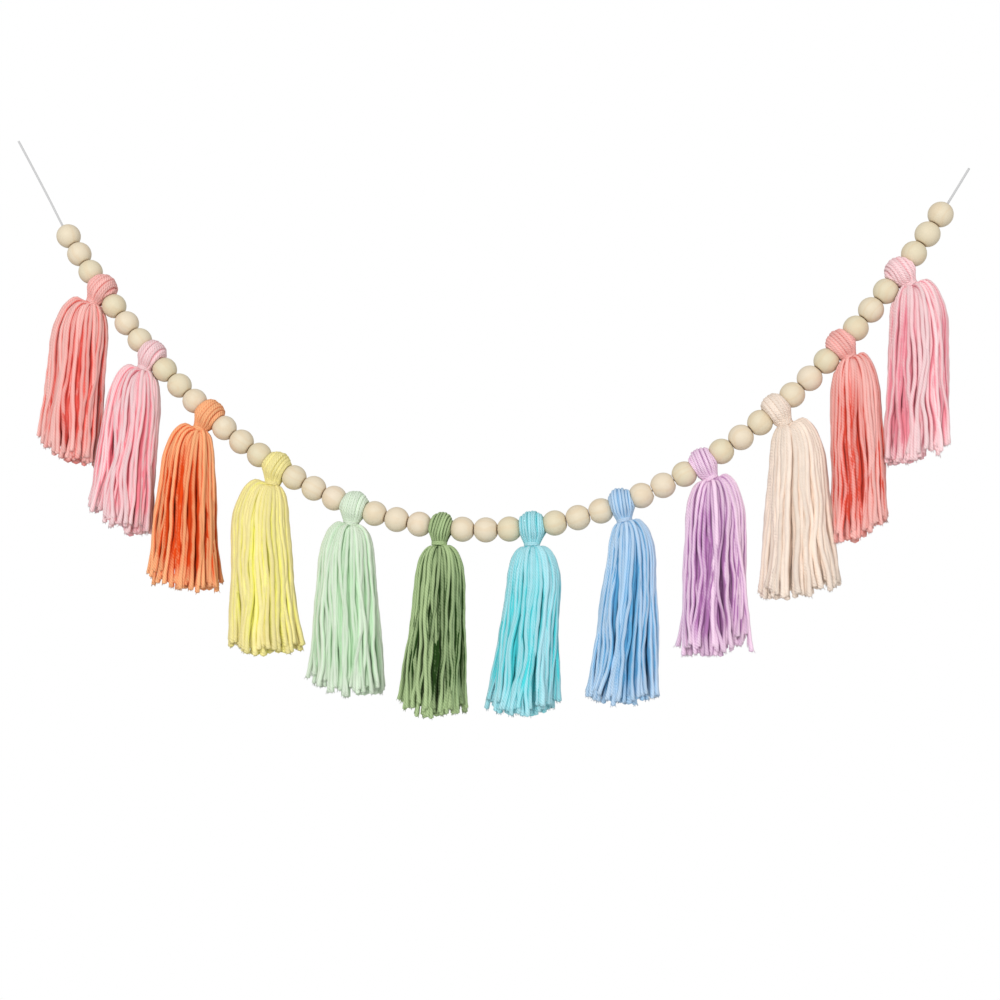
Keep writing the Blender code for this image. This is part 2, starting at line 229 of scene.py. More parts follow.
# One row a tassel, from left to right: its yarn, its room on the string, how far the head bulges past
# that room, how far its loops are turned from square to the string, the neck's direction from straight
# down and its distance from the head's middle, how far the skirt reaches left and right of the neck near
# its top and near its foot, its length at either side, and the rise of its dome. Directions are in
# degrees.
Tassel = namedtuple(
    "Tassel",
    "yarn room bulge tilt lean neck left_top right_top left_foot right_foot left_length right_length "
    "dome_rise",
)
TASSELS = (
    Tassel("coral_pink", 14.5, 2.0, 14, -32, 11.0, 28.5, 11.4, 31.0, 9.0, 89.5, 106.5, 5.5),
    Tassel("candy_pink", 12.0, 2.7, 14, -28, 10.2, 25.5, 12.3, 31.5, 10.0, 89.0, 108.0, 4.5),
    Tassel("orange", 12.5, 3.1, 4, -32, 10.6, 25.5, 11.2, 31.6, 15.4, 92.0, 104.0, 4.5),
    Tassel("yellow", 13.0, 2.7, 2, -11, 11.5, 26.0, 11.6, 25.0, 19.2, 101.5, 104.5, 4.0),
    Tassel("mint", 13.5, 2.4, 6, -9, 10.6, 20.6, 16.4, 22.2, 22.5, 99.5, 106.0, 2.0),
    Tassel("sage", 13.0, 0.9, -8, -4, 10.4, 15.5, 17.8, 21.0, 19.5, 100.0, 102.5, 0.5),
    Tassel("aqua", 14.0, 2.2, -3, 0, 11.2, 15.8, 19.0, 24.0, 16.2, 99.5, 100.5, 0.5),
    Tassel("sky_blue", 12.0, 2.7, -12, 11, 10.3, 11.2, 20.5, 20.6, 22.6, 108.5, 107.5, 2.0),
    Tassel("lilac", 12.0, 2.8, -10, 26, 10.9, 16.6, 22.0, 17.6, 22.4, 106.0, 100.5, 4.0),
    Tassel("cream", 11.5, 3.2, -6, 30, 11.0, 10.2, 25.0, 16.0, 31.0, 105.5, 98.0, 4.5),
    Tassel("coral_red", 12.5, 2.9, -9, 30, 9.4, 12.2, 19.6, 12.0, 22.4, 112.5, 100.0, 4.0),
    Tassel("rose_pink", 14.5, 2.1, -20, 36, 9.5, 13.4, 24.2, 16.0, 22.8, 111.0, 98.5, 4.5),
)

# Strands' thickness in shares of itself: thinner by the neck and over what run, uneven on the way, and
# wider over the last stretch by the cut end
NECK_THIN = 0.30
THIN_RUN = 22.0
UNEVEN = 0.08
END_WIDE = 0.22
WIDE_RUN = 5.0

# Fibres that show at each cut end: how many, their radius, and the shortest and longest
FIBRES_PER_END = 5
FIBRE_RADIUS = 0.34
FIBRE_LENGTHS = (0.9, 2.2)

# How far a strand's rounded end reaches past its last ring, as a share of its radius
END_REACH = 0.45

# How much painted shade the side of a strand that faces its neighbours gets, in a skirt and in a head, and
# how much less of it the side that faces the inside of its skirt gets
SIDE_SHADE = 0.90
LOOP_SIDE_SHADE = 0.75
INNER_FADE = 0.55

# The painted shade of the loops, of the rings under them and of the ties, how much painted shade a sunk
# millimetre adds in a skirt, and the last stretch of a strand, over which the painted shade fades
LOOP_SHADE = 0.28
RING_SHADE = 0.65
TIE_SHADE = 0.05
SUNK_SHADE = 0.16
FADE_RUN = 22.0

# The first seed for the tassels' pieces of each kind, and the beads' seed
HEAD_SEED = 100
TIE_SEED = 200
SKIRT_SEED = 300
BEAD_SEED = 39

Item = namedtuple("Item", "centre slope half_room")
Skin = namedtuple("Skin", "points quads fans quad_places fan_places tone depth")


def colour_property(name, description, default):
    return FloatVectorProperty(
        name=name, description=description, default=default, size=3, min=0.0, max=1.0, subtype="COLOR"
    )


def number_property(name, description, default, **more):
    return FloatProperty(name=name, description=description, default=default, min=0.0, **more)


def size_property(name, description, default):
    """A length in millimetres."""
    return number_property(name, f"{description}, in millimetres", default)


def share_property(name, description, default):
    return number_property(name, description, default, max=1.0, subtype="FACTOR")


class GarlandYarn(bpy.types.PropertyGroup):
    """The yarn's thickness and how it hangs."""

    skirt_radius: size_property("Strand radius", "Half the thickness of a hanging strand", 1.40)
    head_radius: size_property("Loop radius", "Half the thickness of a loop over the string", 1.0)
    tie_radius: size_property("Tie radius", "Half the thickness of the neck's tie", 0.80)
    sway: size_property("Sway", "How far neighbours sway together", 1.1)
    waviness: size_property("Waviness", "How far a strand strays by itself to either side", 0.65)
    crossing: size_property("Crossing", "How far a strand drifts sideways on its way down", 2.3)
    recess: size_property("Recess", "How far behind its neighbours a strand can lie", 2.2)
    clumping: share_property("Clumping", "How far strands gather into locks", 0.28)
    flare: size_property("Flare", "How far the wildest strands stand out at the foot", 4.0)
    raggedness: size_property("Raggedness", "How far the cut ends differ in length", 3.6)
    # Patch shade, falloff and groove shade set how much painted shade the yarn gets
    patch_shade: number_property("Patch shade", "How deep the colour is where the strands part", 3.4)
    plies: IntProperty(name="Plies", description="Plies twisted together", default=4, min=2)
    ply_pitch: size_property("Ply pitch", "Length of one turn of the yarn's twist", 8.0)
    ply_depth: size_property("Ply depth", "Depth of the grooves between the plies", 0.32)
    roughness: share_property("Roughness", "How matt the yarn is", 0.9)
    sheen: share_property("Sheen", "The soft shine of the yarn's fibres", 0.18)
    falloff: number_property("Falloff", "How late the colour goes over to the shade with depth", 2.0)
    groove_shade: share_property("Groove shade", "How deep the colour is between the plies", 0.24)


def words(key):
    return key.replace("_", " ").capitalize()


class GarlandColours(bpy.types.PropertyGroup):
    """The colour of each yarn."""

    __annotations__ = {
        key: colour_property(words(key), "Colour of this yarn", look.light) for key, look in LOOKS.items()
    }


class GarlandShades(bpy.types.PropertyGroup):
    """The painted shade colour of each yarn, for the shade between and beside its strands."""

    __annotations__ = {
        key: colour_property(f"{words(key)} shade", "Deeper colour between this yarn's strands", look.shade)
        for key, look in LOOKS.items()
    }


class GarlandBeads(bpy.types.PropertyGroup):
    """The beads' wood."""

    sides: IntProperty(name="Sides", description="Faces round a bead", default=34, min=12)
    rings: IntProperty(name="Rings", description="Rings from one flat end to the other", default=17, min=7)
    pale_wood: colour_property("Pale wood", "The wood between its growth lines", (0.67, 0.60, 0.425))
    warm_wood: colour_property("Warm wood", "The pinker wood that some beads have", (0.73, 0.63, 0.49))
    grain_colour: colour_property("Grain", "The growth lines", (0.66, 0.47, 0.27))
    grain: share_property("Grain strength", "How clearly the growth lines show", 0.42)
    roughness: share_property("Roughness", "How matt the sanded wood is", 0.55)


class GarlandString(bpy.types.PropertyGroup):
    """The string."""

    sides: IntProperty(name="Sides", description="Faces round the string", default=12, min=6)
    plies: IntProperty(name="Plies", description="Plies twisted together", default=3, min=2)
    ply_pitch: size_property("Ply pitch", "Length of one turn of the string's twist", 4.2)
    ply_depth: share_property("Ply depth", "Depth of the grooves as a share of the radius", 0.16)
    colour: colour_property("Colour", "The cotton", (0.58, 0.58, 0.585))


class GarlandStage(bpy.types.PropertyGroup):
    """Light and floor."""

    surround: number_property("Surround", "Light from all sides", 0.55)
    key: number_property("Key", "Main light", 29.0, unit="POWER")
    fill: number_property("Fill", "Weaker light from the right", 7.0, unit="POWER")
    floor_drop: number_property("Floor drop", "Depth of the floor below the left end", 1.5, unit="LENGTH")


# The route and what is threaded on it


def points_of(x, y, z):
    return np.stack(np.broadcast_arrays(x, y, z), axis=-1)


def angles(sides):
    """Equal steps round a whole turn."""
    return np.linspace(0.0, TURN, sides, endpoint=False)


def through(knots, values, at):
    """A smooth line through the values at the knots.

    Each span is the cubic that takes on the values and the central slopes at its two knots."""
    values = np.asarray(values, float).reshape(len(knots), -1)
    slopes = np.gradient(values, knots, axis=0)
    at = np.asarray(at, float)
    span = np.clip(np.searchsorted(knots, at, side="right") - 1, 0, len(knots) - 2)
    width = (knots[span + 1] - knots[span])[..., None]
    t = (at[..., None] - knots[span][..., None]) / width
    smooth = (
        (2 * t**3 - 3 * t**2 + 1) * values[span]
        + (t**3 - 2 * t**2 + t) * slopes[span] * width
        + (3 * t**2 - 2 * t**3) * values[span + 1]
        + (t**3 - t**2) * slopes[span + 1] * width
    )
    return smooth


def smooth_route():
    """Samples in millimetres of the smooth curve through the route's points, and their arc lengths."""
    points = np.array(ROUTE) / MM
    knots = np.concatenate([[0.0], np.cumsum(np.linalg.norm(np.diff(points, axis=0), axis=1))])
    share = np.arange(SAMPLES_PER_SPAN) / SAMPLES_PER_SPAN
    at = (knots[:-1, None] + np.diff(knots)[:, None] * share).ravel()
    samples = through(knots, points, np.append(at, knots[-1]))
    lengths = np.concatenate([[0.0], np.cumsum(np.linalg.norm(np.diff(samples, axis=0), axis=1))])
    return samples, lengths


def route_points(route, at):
    """Points in space at these lengths along the route."""
    samples, lengths = route
    across = np.interp(at, lengths, samples[:, 0])
    up = np.interp(at, lengths, samples[:, 1])
    return points_of(across, 0.0, up)


def string_joints():
    """Lengths along the string of the joints between beads and heads."""
    rooms = []
    for tassel in TASSELS:
        rooms += [BEAD_PITCH] * BEADS_PER_GROUP + [tassel.room]
    rooms += [BEAD_PITCH] * BEADS_PER_GROUP
    return LEFT_TAIL + np.concatenate([[0.0], np.cumsum(rooms)])


def threaded_items():
    """Beads and heads in order along the string: middle, slope and half of the room that each takes."""
    joints = string_joints()
    places = route_points(smooth_route(), joints)
    items = []
    for start, end, room in zip(places[:-1], places[1:], np.diff(joints)):
        slope = math.atan2(end[2] - start[2], end[0] - start[0])
        items.append(Item((start + end) / 2, slope, room / 2))
    group = BEADS_PER_GROUP + 1
    beads = [item for i, item in enumerate(items) if i % group != BEADS_PER_GROUP]
    return beads, items[BEADS_PER_GROUP::group]


def placed(points, slope, centre):
    """Points of a frame whose X rises at this slope and whose origin lies at the centre."""
    x, y, z = np.moveaxis(points, -1, 0)
    c, s = math.cos(slope), math.sin(slope)
    return points_of(c * x - s * z, y, s * x + c * z) + centre


def neck_of(head, tassel):
    """The middle of the neck's tie, and how far the neck is turned from straight down."""
    turn = math.radians(tassel.lean)
    return head.centre + tassel.neck * np.array([math.sin(turn), 0.0, -math.cos(turn)]), turn


def near_beads(number, beads):
    """Middles of the beads on both sides of a tassel."""
    last = BEADS_PER_GROUP * (number + 1)
    return np.array([bead.centre for bead in beads[last - BEADS_PER_GROUP : last + BEADS_PER_GROUP]])


# Strands


def unit(vectors):
    return vectors / np.maximum(np.linalg.norm(vectors, axis=-1, keepdims=True), 1e-9)


def smooth_step(value):
    value = np.clip(value, 0.0, 1.0)
    return value * value * (3 - 2 * value)


def eased(value, start, width):
    """0 up to the start, 1 from the width past it on, and smooth between."""
    return smooth_step((value - start) / width)


def run_along(paths):
    """Length along each path at each of its points."""
    steps = np.linalg.norm(np.diff(paths, axis=1), axis=-1)
    return np.concatenate([np.zeros((len(paths), 1)), np.cumsum(steps, axis=1)], axis=1)


def clear_of_beads(paths, radius, balls, room=0.35):
    """Paths moved straight away from the middle of each bead that they come too near to."""
    for ball in balls:
        away = paths - ball
        distance = np.linalg.norm(away, axis=-1, keepdims=True)
        least = BEAD_DIAMETER / 2 + room + radius[..., None]
        paths = ball + away * np.maximum(1.0, least / np.maximum(distance, 1e-6))
    return paths


def strand_skin(paths, aside, radius, sides, tone, depth, outwards=None, starts=0.0, side_shade=SIDE_SHADE):
    """Tubes along many paths at once, closed by a point at either end.

    The ring at each path point is the point + radius (cos a side + sin a over), where side is the aside
    direction squared up to the path and over is square to both. The UV map has the share of the way round
    across and the length in millimetres along the strand. The depth is painted shade: it grows where a
    strand's side faces its neighbours and not outwards, and is less again where it faces the inside."""
    ahead = unit(np.gradient(paths, axis=1))
    aside = np.broadcast_to(aside, paths.shape)
    side = unit(aside - ahead * (aside * ahead).sum(-1, keepdims=True))
    over = np.cross(ahead, side)
    angle = angles(sides)[:, None]
    ring = side[:, :, None] * np.cos(angle) + over[:, :, None] * np.sin(angle)
    rings = paths[:, :, None] + radius[:, :, None, None] * ring
    reach = END_REACH * radius[:, [0, -1], None] * ahead[:, [0, -1]] * np.array([-1.0, 1.0])[:, None]
    poles = paths[:, [0, -1]] + reach
    depth = np.broadcast_to(depth[:, :, None], rings.shape[:3])
    # Painted shade on the sides that face neighbours, and less of it on those that face the inside
    if outwards is not None:
        facing = (ring * outwards[:, :, None]).sum(-1)
        depth = depth + np.asarray(side_shade)[..., None] * smooth_step(0.97 - facing)
        depth = depth * (1 - INNER_FADE * smooth_step(-facing))
    return skin_of_rings(rings, poles, tone, depth, run_along(paths) + starts)


def skin_of_rings(rings, poles, tone, depth, run):
    """Faces over the rings of many strands, and a fan of triangles to the pole at either end of each."""
    strands, rows, sides, _ = rings.shape
    points = np.concatenate([rings.reshape(-1, 3), poles.reshape(-1, 3)])
    index = np.arange(strands * rows * sides).reshape(strands, rows, sides)
    after = np.roll(index, -1, axis=2)
    quads = np.stack([index[:, :-1], after[:, :-1], after[:, 1:], index[:, 1:]], axis=-1).reshape(-1, 4)
    tips = strands * rows * sides + np.arange(2 * strands).reshape(strands, 2)
    first = np.stack([np.repeat(tips[:, :1], sides, 1), after[:, 0], index[:, 0]], axis=-1)
    last = np.stack([np.repeat(tips[:, 1:], sides, 1), index[:, -1], after[:, -1]], axis=-1)
    fans = np.stack([first, last], axis=1).reshape(-1, 3)
    left = np.arange(sides) / sides
    right = left + 1 / sides
    low, high = run[:, :-1, None], run[:, 1:, None]
    corners = [(left, low), (right, low), (right, high), (left, high)]
    corners = [np.stack(np.broadcast_arrays(*corner), axis=-1) for corner in corners]
    quad_places = np.stack(corners, axis=-2).reshape(-1, 4, 2)
    ends = np.repeat(run[:, [0, -1]], sides, axis=1).ravel()
    fan_places = np.repeat(np.stack([np.zeros_like(ends), ends], axis=-1)[:, None], 3, axis=1)
    tones = np.concatenate([np.repeat(tone, rows * sides), np.repeat(tone, 2)])
    depths = np.concatenate([depth.ravel(), depth[:, [0, -1]].mean(-1).ravel()])
    return Skin(points, quads, fans, quad_places, fan_places, tones, depths)


def joined(skins):
    """Several skins as one."""
    firsts = np.cumsum([0] + [len(skin.points) for skin in skins[:-1]])
    moved = []
    for skin, first in zip(skins, firsts):
        moved.append(skin._replace(quads=skin.quads + first, fans=skin.fans + first))
    return Skin(*(np.concatenate(parts) for parts in zip(*moved)))


def add_attribute(mesh, key, values):
    """A number or a direction at each vertex."""
    kind, field = ("FLOAT_VECTOR", "vector") if values.ndim > 1 else ("FLOAT", "value")
    attribute = mesh.attributes.new(key, kind, "POINT")
    attribute.data.foreach_set(field, values.astype(np.float32).ravel())


def mesh_of_skin(name, skin):
    """A mesh in metres with a UV map and the attributes tone and depth, which is the painted shade."""
    corners = np.concatenate([skin.quads.ravel(), skin.fans.ravel()]).astype(np.int32)
    quads, fans = len(skin.quads), len(skin.fans)
    starts = np.concatenate([4 * np.arange(quads), 4 * quads + 3 * np.arange(fans)]).astype(np.int32)
    mesh = bpy.data.meshes.new(name)
    mesh.vertices.add(len(skin.points))
    mesh.vertices.foreach_set("co", (skin.points * MM).astype(np.float32).ravel())
    mesh.loops.add(len(corners))
    mesh.loops.foreach_set("vertex_index", corners)
    mesh.polygons.add(len(starts))
    mesh.polygons.foreach_set("loop_start", starts)
    mesh.update(calc_edges=True)
    places = np.concatenate([skin.quad_places.reshape(-1, 2), skin.fan_places.reshape(-1, 2)])
    mesh.uv_layers.new(name="strand").data.foreach_set("uv", places.astype(np.float32).ravel())
    add_attribute(mesh, "tone", skin.tone)
    add_attribute(mesh, "depth", skin.depth)
    mesh.shade_smooth()
    return mesh


def object_of(data):
    """A new object in the scene with this data and its name."""
    thing = bpy.data.objects.new(data.name, data)
    bpy.context.scene.collection.objects.link(thing)
    return thing


def show(mesh, material, slot, *nodes):
    """Puts a finished mesh in the scene as a piece of its name that stands for these nodes."""
    mesh.materials.append(material)
    piece = object_of(mesh)
    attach(piece, BODY)
    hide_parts(*nodes)
    return piece


# Materials


class Recipe:
    """A material's nodes, added and linked in short calls."""

    def __init__(self, name):
        self.material = bpy.data.materials.new(name)
        self.material.use_nodes = True
        self.tree = self.material.node_tree
        self.shader = self.tree.nodes["Principled BSDF"]

    def add(self, kind, inputs=(), **settings):
        node = self.tree.nodes.new(kind)
        for key, value in settings.items():
            setattr(node, key, value)
        for key, value in dict(inputs).items():
            self.feed(node.inputs[key], value)
        return node

    def feed(self, socket, value):
        if isinstance(value, bpy.types.NodeSocket):
            self.tree.links.new(value, socket)
        elif socket.type == "RGBA":
            socket.default_value = (*value, 1.0)
        else:
            socket.default_value = value

    def math(self, operation, first, second=0.0, third=0.0):
        node = self.add("ShaderNodeMath", {0: first, 1: second, 2: third}, operation=operation)
        return node.outputs[0]

    def times(self, first, second):
        return self.math("MULTIPLY", first, second)

    def attribute(self, name, output="Fac"):
        return self.add("ShaderNodeAttribute", attribute_name=name).outputs[output]

    def noise(self, place, scale, detail, roughness=0.5):
        """Noise whose scale differs along each of the place's axes."""
        scaled = self.add("ShaderNodeMapping", {"Vector": place, "Scale": scale}).outputs["Vector"]
        inputs = {"Vector": scaled, "Scale": 1.0, "Detail": detail, "Roughness": roughness}
        return self.add("ShaderNodeTexNoise", inputs).outputs["Fac"]

    def spread(self, value, low, high, to_low=0.0, to_high=1.0):
        """The value brought from one range to another and kept inside it."""
        inputs = {"Value": value, "From Min": low, "From Max": high, "To Min": to_low, "To Max": to_high}
        return self.add("ShaderNodeMapRange", inputs, clamp=True).outputs["Result"]

    def mix(self, share, first, second, blend="MIX"):
        node = self.add("ShaderNodeMix", data_type="RGBA", blend_type=blend)
        self.feed(node.inputs[0], share)
        self.feed(node.inputs[6], first)
        self.feed(node.inputs[7], second)
        return node.outputs[2]

    def surface(self, values):
        """Sets the shader's own sockets."""
        for key, value in values.items():
            self.feed(self.shader.inputs[key], value)

    def dye(self, colour, level):
        """Gives the surface this colour times a grey level."""
        grey = self.add("ShaderNodeCombineXYZ", {"X": level, "Y": level, "Z": level}).outputs[0]
        self.surface({"Base Color": self.mix(1.0, colour, grey, "MULTIPLY")})

    def bump(self, height, distance, strength):
        node = self.add("ShaderNodeBump", {"Height": height, "Distance": distance, "Strength": strength})
        self.surface({"Normal": node.outputs["Normal"]})


def deeper(colour, power):
    """The colour with each channel raised to the power."""
    return tuple(channel**power for channel in colour)


def yarn_material(name, colour, shade, yarn):
    """Twisted yarn: grooves that wind round the strand, fine fibres, and painted shade between strands.

    The ridges are |sin(pi plies (share of the way round + length / ply pitch))|. The colour goes over to the
    painted shade colour with a power of the depth attribute and in the grooves between the plies."""
    recipe = Recipe(name)
    place = recipe.add("ShaderNodeUVMap", uv_map="strand").outputs["UV"]
    parts = recipe.add("ShaderNodeSeparateXYZ", {"Vector": place})
    winding = recipe.times(parts.outputs["X"], yarn.plies)
    turn = recipe.math("MULTIPLY_ADD", parts.outputs["Y"], yarn.plies / yarn.ply_pitch, winding)
    ridge = recipe.math("ABSOLUTE", recipe.math("SINE", recipe.times(turn, math.pi)))
    fibres = recipe.noise(place, (22.0, 1.6, 1.0), 3.0, 0.6)
    mottle = recipe.noise(place, (2.0, 0.11, 1.0), 2.0)
    # The depth attribute is painted shade, and the mottle makes it vary along the strand
    depth = recipe.math("POWER", recipe.attribute("depth"), yarn.falloff)
    depth = recipe.times(depth, recipe.spread(mottle, 0.3, 0.7, 0.6, 1.4))
    # Painted shade in the grooves between the plies
    groove = recipe.spread(ridge, 0.0, 0.7, yarn.groove_shade, 0.0)
    deepness = recipe.math("ADD", depth, groove)
    body = recipe.mix(recipe.math("MINIMUM", deepness, 1.0), colour, shade)
    tone = recipe.spread(recipe.attribute("tone"), 0.0, 1.0, 0.90, 1.08)
    speckle = recipe.spread(mottle, 0.25, 0.75, 0.94, 1.06)
    hair = recipe.spread(fibres, 0.25, 0.75, 0.93, 1.07)
    level = recipe.times(recipe.times(tone, speckle), hair)
    recipe.dye(body, level)
    recipe.surface({"Roughness": yarn.roughness, "Specular IOR Level": 0.12})
    recipe.surface({"Sheen Weight": yarn.sheen, "Sheen Roughness": 0.6, "Sheen Tint": colour})
    height = recipe.math("MULTIPLY_ADD", fibres, 0.35, ridge)
    recipe.bump(height, yarn.ply_depth * MM, 0.9)
    return recipe.material


def wood_material(beads):
    """Sanded pale wood: faint growth lines along the bore, fine pores, and beads that differ in warmth."""
    recipe = Recipe("sanded wood")
    place = recipe.attribute("bead_place", "Vector")
    tone = recipe.attribute("tone")
    plain = recipe.mix(tone, beads.pale_wood, beads.warm_wood)
    bend = recipe.noise(place, (0.10, 0.10, 0.03), 2.0)
    parts = recipe.add("ShaderNodeSeparateXYZ", {"Vector": place})
    rings = recipe.math("MULTIPLY_ADD", bend, 16.0, recipe.times(parts.outputs["X"], 1.1))
    line = recipe.spread(recipe.math("SINE", rings), 0.1, 1.0)
    streak = recipe.noise(place, (3.2, 3.2, 0.22), 4.0, 0.6)
    flecks = recipe.spread(streak, 0.5, 0.8)
    grain = recipe.math("MULTIPLY_ADD", flecks, 0.6, recipe.times(line, 0.5))
    share = recipe.times(grain, beads.grain)
    colour = recipe.mix(share, plain, beads.grain_colour)
    # Darker end grain and painted shade at the flat ends, at their rims and down the bore
    colour = recipe.mix(recipe.attribute("depth"), colour, deeper(beads.grain_colour, 1.8))
    recipe.surface({"Base Color": colour, "Roughness": beads.roughness, "Specular IOR Level": 0.3})
    pores = recipe.noise(place, (5.0, 5.0, 0.5), 3.0, 0.7)
    recipe.bump(pores, 0.05 * MM, 0.6)
    return recipe.material


def string_material(string):
    """White cotton with fine fibres, and painted shade in the grooves between the plies, which are in the
    mesh.
    """
    recipe = Recipe("white cotton string")
    place = recipe.add("ShaderNodeUVMap", uv_map="strand").outputs["UV"]
    fibres = recipe.noise(place, (16.0, 2.5, 1.0), 3.0, 0.6)
    body = recipe.mix(recipe.attribute("depth"), string.colour, deeper(string.colour, 2.0))
    recipe.dye(body, recipe.spread(fibres, 0.25, 0.75, 0.90, 1.0))
    recipe.surface({"Roughness": 0.85, "Sheen Weight": 0.2})
    recipe.bump(fibres, 0.04 * MM, 0.7)
    return recipe.material


def yarn_of(key):
    """The material of this yarn, made once."""
    name = f"{key.replace('_', ' ')} yarn"
    found = bpy.data.materials.get(name)
    if found:
        return found
    scene = bpy.context.scene
    light = tuple(getattr(scene.garland_colours, key))
    shade = tuple(getattr(scene.garland_shades, key))
    return yarn_material(name, light, shade, scene.garland_yarn)


def add_tassel_pieces(part, first_seed, skin_of):
    """A piece of yarn for each tassel, each with its own seed, from the function that gives its skin."""
    beads, heads = threaded_items()
    yarn = bpy.context.scene.garland_yarn
    for number, (tassel, head) in enumerate(zip(TASSELS, heads)):
        dice = np.random.default_rng(first_seed + number)
        skin = skin_of(tassel, head, near_beads(number, beads), yarn, dice)
        mesh = mesh_of_skin(f"yarn_{part}_{number + 1:02d}", skin)
        show(mesh, yarn_of(tassel.yarn), f"{tassel.yarn}_yarn", f"tassel_{number + 1:02d}")


# The camera and the string


# The camera's lens and sensor in millimetres, its place in metres, and its turns in degrees from looking
# down
CAMERA_LENS = 64.8
CAMERA_SENSOR = 36.0
CAMERA_PLACE = (0.4914, -1.1151, -0.4105)
CAMERA_TURNS = (("Z", 8.06), ("X", 8.27), ("Y", -0.96), ("X", 90.0))

# The step between the rings on the string's open ends, and the number of rings on its hidden stretch
STRING_STEP = 0.45
HIDDEN_RINGS = 300


class GARLAND_OT_set_camera(bpy.types.Operator):
    """Place the camera a little below and to the right of the garland's middle, turned towards it"""

    bl_idname = "garland.set_camera"
    bl_label = "Camera"

    def execute(self, context):
        data = bpy.data.cameras.new("camera")
        data.lens = CAMERA_LENS
        data.sensor_width = CAMERA_SENSOR
        camera = object_of(data)
        turned = Matrix.Identity(3)
        for axis, degrees in CAMERA_TURNS:
            turned = turned @ Matrix.Rotation(math.radians(degrees), 3, axis)
        camera.matrix_world = Matrix.Translation(CAMERA_PLACE) @ turned.to_4x4()
        context.scene.camera = camera
        return {"FINISHED"}


def string_stations(route):
    """Lengths along the string at which it has a ring: close together on the open ends."""
    joints = string_joints()
    left = np.arange(0.0, joints[0] + 2.0, STRING_STEP)
    right = np.arange(joints[-1] - 2.0, route[1][-1], STRING_STEP)
    hidden = np.linspace(left[-1], right[0], HIDDEN_RINGS)[1:-1]
    return np.concatenate([left, hidden, right, route[1][-1:]])


class GARLAND_OT_add_string(bpy.types.Operator):
    """Add the twisted string that everything is threaded on"""

    bl_idname = "garland.add_string"
    bl_label = "String"

    def execute(self, context):
        string = context.scene.garland_string
        route = smooth_route()
        stations = string_stations(route)
        path = route_points(route, stations)[None]
        mesh = mesh_of_skin("cotton_string", twisted_skin(path, stations, string))
        piece = show(mesh, string_material(string), "string", "string")
        return {"FINISHED"}


def twisted_skin(path, stations, string):
    """A tube whose radius swells over each ply: radius (1 - depth (1 - |cos(plies (a - turn) / 2)|)).

    The turn grows by a whole turn each ply pitch, and painted shade lies in the grooves."""
    aside = np.array([0.0, 1.0, 0.0])
    radius = np.full(path.shape[:2], STRING_DIAMETER / 2)
    plain = strand_skin(path, aside, radius, string.sides, np.array([0.5]), np.zeros(path.shape[:2]))
    angle = angles(string.sides)
    turn = TURN * stations[:, None] / string.ply_pitch
    swell = np.abs(np.cos(string.plies * (angle - turn) / 2))
    rings = plain.points[:-2].reshape(len(stations), string.sides, 3)
    middle = path[0][:, None]
    rings = middle + (rings - middle) * (1 - string.ply_depth * (1 - swell))[..., None]
    # Painted shade in the grooves between the plies, and a little at the ends
    depth = np.concatenate([(0.25 * (1 - swell)).ravel(), [0.1, 0.1]])
    return plain._replace(points=np.concatenate([rings.reshape(-1, 3), plain.points[-2:]]), depth=depth)


# The beads


# A bead's end, from its flat into the bore: how far past the bore's radius and how far below the flat a
# point lies, and how dark it is from darker end grain and painted shade. The rim of the flat has painted
# shade of its own, where it nears the next bead.
End = namedtuple("End", "past below dark")
BEAD_END = (End(1.7, 0.0, 0.35), End(0.45, 0.0, 0.55), End(0.0, 0.4, 0.9))
RIM_SHADE = 0.25

# How far apart the beads' places in the wood can lie
WOOD_SPREAD = 90.0


def bead_outline(rings):
    """Radius, height and darkness round a bead's section, from painted shade and darker end grain: down the
    ball, over the flat and up the bore.
    """
    radius = BEAD_DIAMETER / 2
    half = (BEAD_PITCH - JOINT_GAP) / 2
    first = math.acos(half / radius)
    angle = np.linspace(first, math.pi - first, rings)
    ball = points_of(radius * np.sin(angle), radius * np.cos(angle), 0.0)
    ball[[0, -1], 2] = RIM_SHADE
    end = np.array([(BORE_DIAMETER / 2 + point.past, half - point.below, point.dark) for point in BEAD_END])
    return np.concatenate([ball, end * (1, -1, 1), end[::-1]])


def bead_skin(item, beads, dice):
    """The outline turned about the bore: (-height, radius sin a, radius cos a) along the string's slope.

    The wood's own place has the same outline, turned and moved at random."""
    outline = bead_outline(beads.rings)
    rows, sides = len(outline), beads.sides
    angle = angles(sides)
    radius, height, _ = outline.T[:, :, None]
    local = points_of(-height, radius * np.sin(angle), radius * np.cos(angle))
    index = np.arange(rows * sides).reshape(rows, sides)
    below, after = np.roll(index, -1, axis=0), np.roll(index, -1, axis=1)
    corner = np.roll(below, -1, axis=1)
    quads = np.stack([index, after, corner, below], axis=-1).reshape(-1, 4)
    turned = angle + dice.uniform(0.0, TURN)
    grain = points_of(radius * np.sin(turned), radius * np.cos(turned), height)
    grain = grain + dice.uniform(-WOOD_SPREAD, WOOD_SPREAD, 3)
    points = placed(local, item.slope, item.centre)
    return points.reshape(-1, 3), quads, grain.reshape(-1, 3), np.repeat(outline[:, 2], sides)


